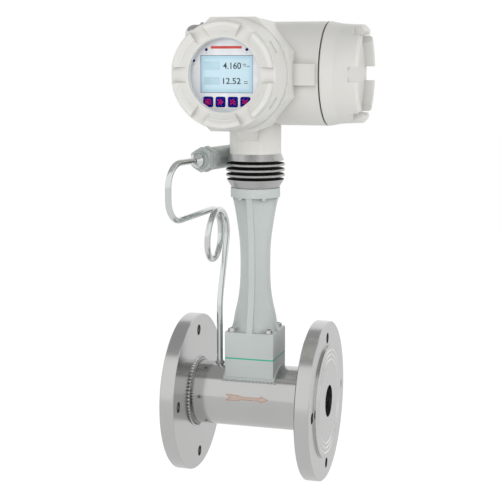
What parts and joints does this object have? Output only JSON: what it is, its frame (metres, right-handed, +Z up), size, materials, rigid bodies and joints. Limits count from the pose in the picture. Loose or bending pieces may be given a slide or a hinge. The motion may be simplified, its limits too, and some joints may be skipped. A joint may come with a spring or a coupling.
{
  "type": "vortex flow meter",
  "caption": "Flanged vortex flow meter with a ribbed stem, finned cooler, L-shaped display head and a coiled pressure tube.",
  "frame": {"origin": "centre of the inlet flange's bolting face, on the flow axis, 2 mm behind the raised face", "axes": "+X along the flow from the inlet flange to the outlet flange, +Z up along the stem, the display faces -Y"},
  "size_m": [0.1927, 0.1979, 0.4708],
  "materials": {
    "stainless": "turned and brushed",
    "flange_steel": "finely turned",
    "weld": "rippled",
    "painted_weld": "painted over",
    "grey_paint": "satin, lightly cast",
    "green_gasket": "matt",
    "black_rubber": "matt",
    "bright_screw": "polished",
    "polished_aluminium": "polished",
    "white_paint": "satin powder coat",
    "window_glass": "clear",
    "dark_plastic": "fine grain",
    "panel_silver": "silver printed film",
    "navy_light": "gloss",
    "lcd_blue": "backlit",
    "circuit_board": "solder mask",
    "brass_post": "turned",
    "navy_key": "film key",
    "terminal_plastic": "moulded",
    "chrome_gland": "nickel plated",
    "fitting_paint": "satin",
    "polished_tube": "polished stainless"
  },
  "bodies": {
    "meter": {"flow_tube": "stainless", "inlet_flange": "flange_steel", "outlet_flange": "flange_steel", "inlet_weld": "weld", "outlet_weld": "weld", "block_weld": "painted_weld", "tap_boss": "stainless", "shedder_bar": "stainless", "lower_block": "grey_paint", "block_gasket": "green_gasket", "sensor_probe": "stainless", "sensor_seal": "black_rubber", "column": "grey_paint", "block_screws": "bright_screw", "collar_screws": "bright_screw", "cooler": "polished_aluminium", "housing": "white_paint", "display_panel": "panel_silver", "status_lights": "navy_light", "lcd_module": "lcd_blue", "display_board": "circuit_board", "display_posts": "brass_post", "terminal_plate": "dark_plastic", "terminal_block": "terminal_plastic", "terminal_screws": "bright_screw", "gland_body": "chrome_gland", "gland_nut": "chrome_gland", "gland_blank": "black_rubber", "blanking_plug": "chrome_gland", "fitting_nut": "fitting_paint", "fitting_body": "fitting_paint", "ferrule": "stainless", "pressure_sensor": "fitting_paint", "arm_screws": "bright_screw", "impulse_tube": "polished_tube"},
    "display_carrier": {"display_seal": "black_rubber"},
    "display_cap": {"display_cover": "white_paint", "window_glass": "window_glass", "glass_ring": "dark_plastic"},
    "side_carrier": {"side_seal": "black_rubber"},
    "side_cap": {"side_cover": "white_paint"},
    "menu_key": {"key_menu": "navy_key"},
    "next_key": {"key_next": "navy_key"},
    "up_key": {"key_up": "navy_key"},
    "down_key": {"key_down": "navy_key"}
  },
  "joints": [
    {"name": "display_cover_travel", "type": "slide", "parent": "meter", "child": "display_carrier", "axis": [0, -1, 0], "range_m": [0, 0.0165]},
    {"name": "display_cover_turn", "type": "hinge", "parent": "display_carrier", "child": "display_cap", "pos_m": [0.077, -0.09, 0.33447], "axis": [0, -1, 0], "range_deg": [0, 3600]},
    {"name": "side_cover_travel", "type": "slide", "parent": "meter", "child": "side_carrier", "axis": [1, 0, 0], "range_m": [0, 0.0165]},
    {"name": "side_cover_turn", "type": "hinge", "parent": "side_carrier", "child": "side_cap", "pos_m": [0.167, 0, 0.33447], "axis": [1, 0, 0], "range_deg": [0, 3600]},
    {"name": "menu_key_press", "type": "slide", "parent": "meter", "child": "menu_key", "axis": [0, 1, 0], "range_m": [0, 0.0004], "stiffness_N_per_m": 400},
    {"name": "next_key_press", "type": "slide", "parent": "meter", "child": "next_key", "axis": [0, 1, 0], "range_m": [0, 0.0004], "stiffness_N_per_m": 400},
    {"name": "up_key_press", "type": "slide", "parent": "meter", "child": "up_key", "axis": [0, 1, 0], "range_m": [0, 0.0004], "stiffness_N_per_m": 400},
    {"name": "down_key_press", "type": "slide", "parent": "meter", "child": "down_key", "axis": [0, 1, 0], "range_m": [0, 0.0004], "stiffness_N_per_m": 400}
  ],
  "couplings": [
    {"joint": "display_cover_travel", "follows": "display_cover_turn", "m_per_rad": 0.00023873},
    {"joint": "side_cover_travel", "follows": "side_cover_turn", "m_per_rad": 0.00023873}
  ]
}
